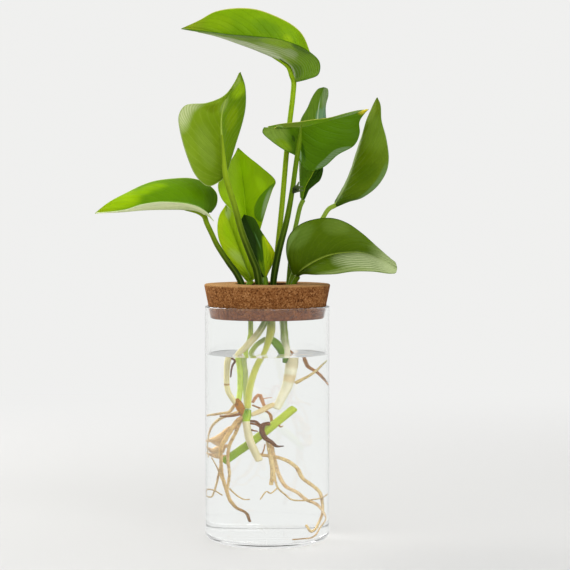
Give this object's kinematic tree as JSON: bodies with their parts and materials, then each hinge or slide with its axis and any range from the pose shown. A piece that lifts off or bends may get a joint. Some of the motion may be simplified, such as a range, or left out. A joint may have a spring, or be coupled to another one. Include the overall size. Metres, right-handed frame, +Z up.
{
  "type": "propagation vase",
  "caption": "Straight clear glass cylinder with a tapered ring of cork in its rim, which holds rooted leafy cuttings, with their roots hanging inside the vessel.",
  "frame": {"origin": "centre of the foot of the glass, on the surface that it stands on", "axes": "+Z up along the cylinder's axis, +X to the right as seen from the front, -Y towards the front"},
  "size_m": [0.1905, 0.0808, 0.3402],
  "materials": {
    "glass": "clear and polished",
    "cork": "raw pressed cork granulate",
    "leaf_green": "glossy bright leaf",
    "leaf_dark": "glossy dark leaf",
    "stalk_green": "satin green stalk",
    "pale_stem": "satin pale stem",
    "root_tan": "matte tan root"
  },
  "bodies": {
    "vase": {"glass_vessel": "glass"},
    "stopper": {"cork_stopper": "cork"},
    "cuttings": {"leaf_top": "leaf_green", "leaf_left_upright": "leaf_green", "leaf_left_arching": "leaf_green", "leaf_centre_back": "leaf_green", "leaf_centre_left": "leaf_green", "leaf_centre_dark": "leaf_dark", "leaf_right_spread": "leaf_dark", "leaf_right_rolled": "leaf_dark", "leaf_right_upright": "leaf_green", "leaf_right_low": "leaf_dark", "stem_collar": "stalk_green", "stalk_top": "stalk_green", "stalk_left_upright": "stalk_green", "stalk_left_arching": "stalk_green", "stalk_centre_back": "stalk_green", "stalk_centre_left": "stalk_green", "stalk_centre_dark": "stalk_green", "stalk_right_spread": "stalk_green", "stalk_right_rolled": "stalk_green", "stalk_right_upright": "stalk_green", "stalk_right_low": "stalk_green", "stem_shoot": "pale_stem", "stem_cut_green": "stalk_green", "stem_main": "stalk_green", "stem_crown": "stalk_green", "stem_white_stub": "pale_stem", "stem_sheath": "stalk_green", "stem_left": "stalk_green", "stem_behind": "stalk_green", "stem_rooting": "pale_stem", "stem_knot": "root_tan", "stem_link": "pale_stem", "root_long_right": "root_tan", "root_floor_right": "root_tan", "root_thin_right": "root_tan", "root_twig": "root_tan", "root_stump": "root_tan", "root_thick_left": "root_tan", "root_inner_left": "root_tan", "root_inner_twig": "root_tan", "root_loop": "root_tan", "root_wisp": "root_tan", "root_side_upper": "root_tan", "root_side_dark": "root_tan", "root_wall": "root_tan", "root_fan_upper": "root_tan", "root_fan_middle": "root_tan", "root_fan_lower": "root_tan", "root_arch": "root_tan", "root_behind_link": "root_tan", "root_ring": "root_tan", "root_peg": "root_tan", "root_high_pale": "root_tan", "root_high_brown": "root_tan", "root_dark_thread": "root_tan"}
  },
  "joints": [
    {"name": "stopper_lift", "type": "slide", "parent": "vase", "child": "stopper", "axis": [0, 0, 1], "range_m": [0, 0.16]},
    {"name": "cutting_turn", "type": "hinge", "parent": "stopper", "child": "cuttings", "pos_m": [0, 0, 0.153], "axis": [0, 0, 1], "continuous": true}
  ]
}
